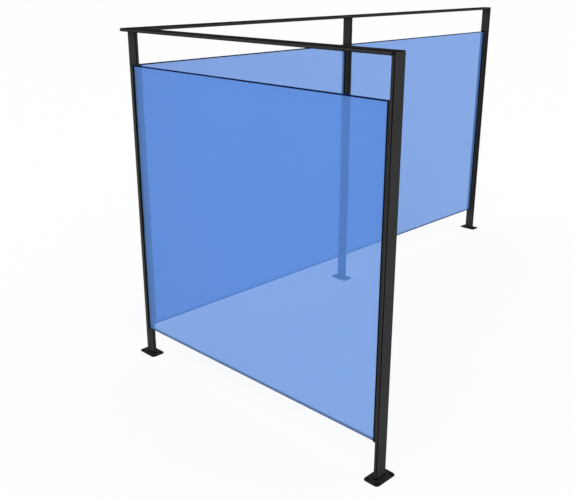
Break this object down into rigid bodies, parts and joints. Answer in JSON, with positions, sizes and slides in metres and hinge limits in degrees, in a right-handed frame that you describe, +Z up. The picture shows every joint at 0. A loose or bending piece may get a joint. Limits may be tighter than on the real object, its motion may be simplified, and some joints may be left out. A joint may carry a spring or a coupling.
{
  "type": "glass balustrade",
  "caption": "Corner glass balustrade: clear blue glass sheets held in upright channels between flat-bar posts on bolted base plates, under a flat handrail.",
  "frame": {"origin": "centre of the corner post's base plate, on its underside, which is the floor level", "axes": "+Z up, +Y along the two bays in line from the corner post to the end post, +X along the side bay from the corner post to the side post"},
  "size_m": [1.09, 2.0975, 1.1],
  "materials": {
    "frame": "fine-textured powder coat, dark grey",
    "base_plate": "fine-textured powder coat, near black",
    "channel": "satin powder coat, dark grey",
    "glass": "clear blue-tinted, polished edges",
    "gasket": "matt black glazing rubber"
  },
  "bodies": {
    "root": {"corner_post": "frame", "side_post": "frame", "middle_post": "frame", "end_post": "frame", "corner_base_plate": "base_plate", "side_base_plate": "base_plate", "middle_base_plate": "base_plate", "end_base_plate": "base_plate", "side_rail": "frame", "long_rail": "frame", "side_glass": "glass", "near_glass": "glass", "far_glass": "glass", "side_bay_corner_channel": "channel", "side_bay_post_channel": "channel", "near_bay_corner_channel": "channel", "near_bay_middle_channel": "channel", "far_bay_middle_channel": "channel", "far_bay_end_channel": "channel", "side_bay_corner_gasket": "gasket", "side_bay_post_gasket": "gasket", "near_bay_corner_gasket": "gasket", "near_bay_middle_gasket": "gasket", "far_bay_middle_gasket": "gasket", "far_bay_end_gasket": "gasket"}
  },
  "joints": []
}
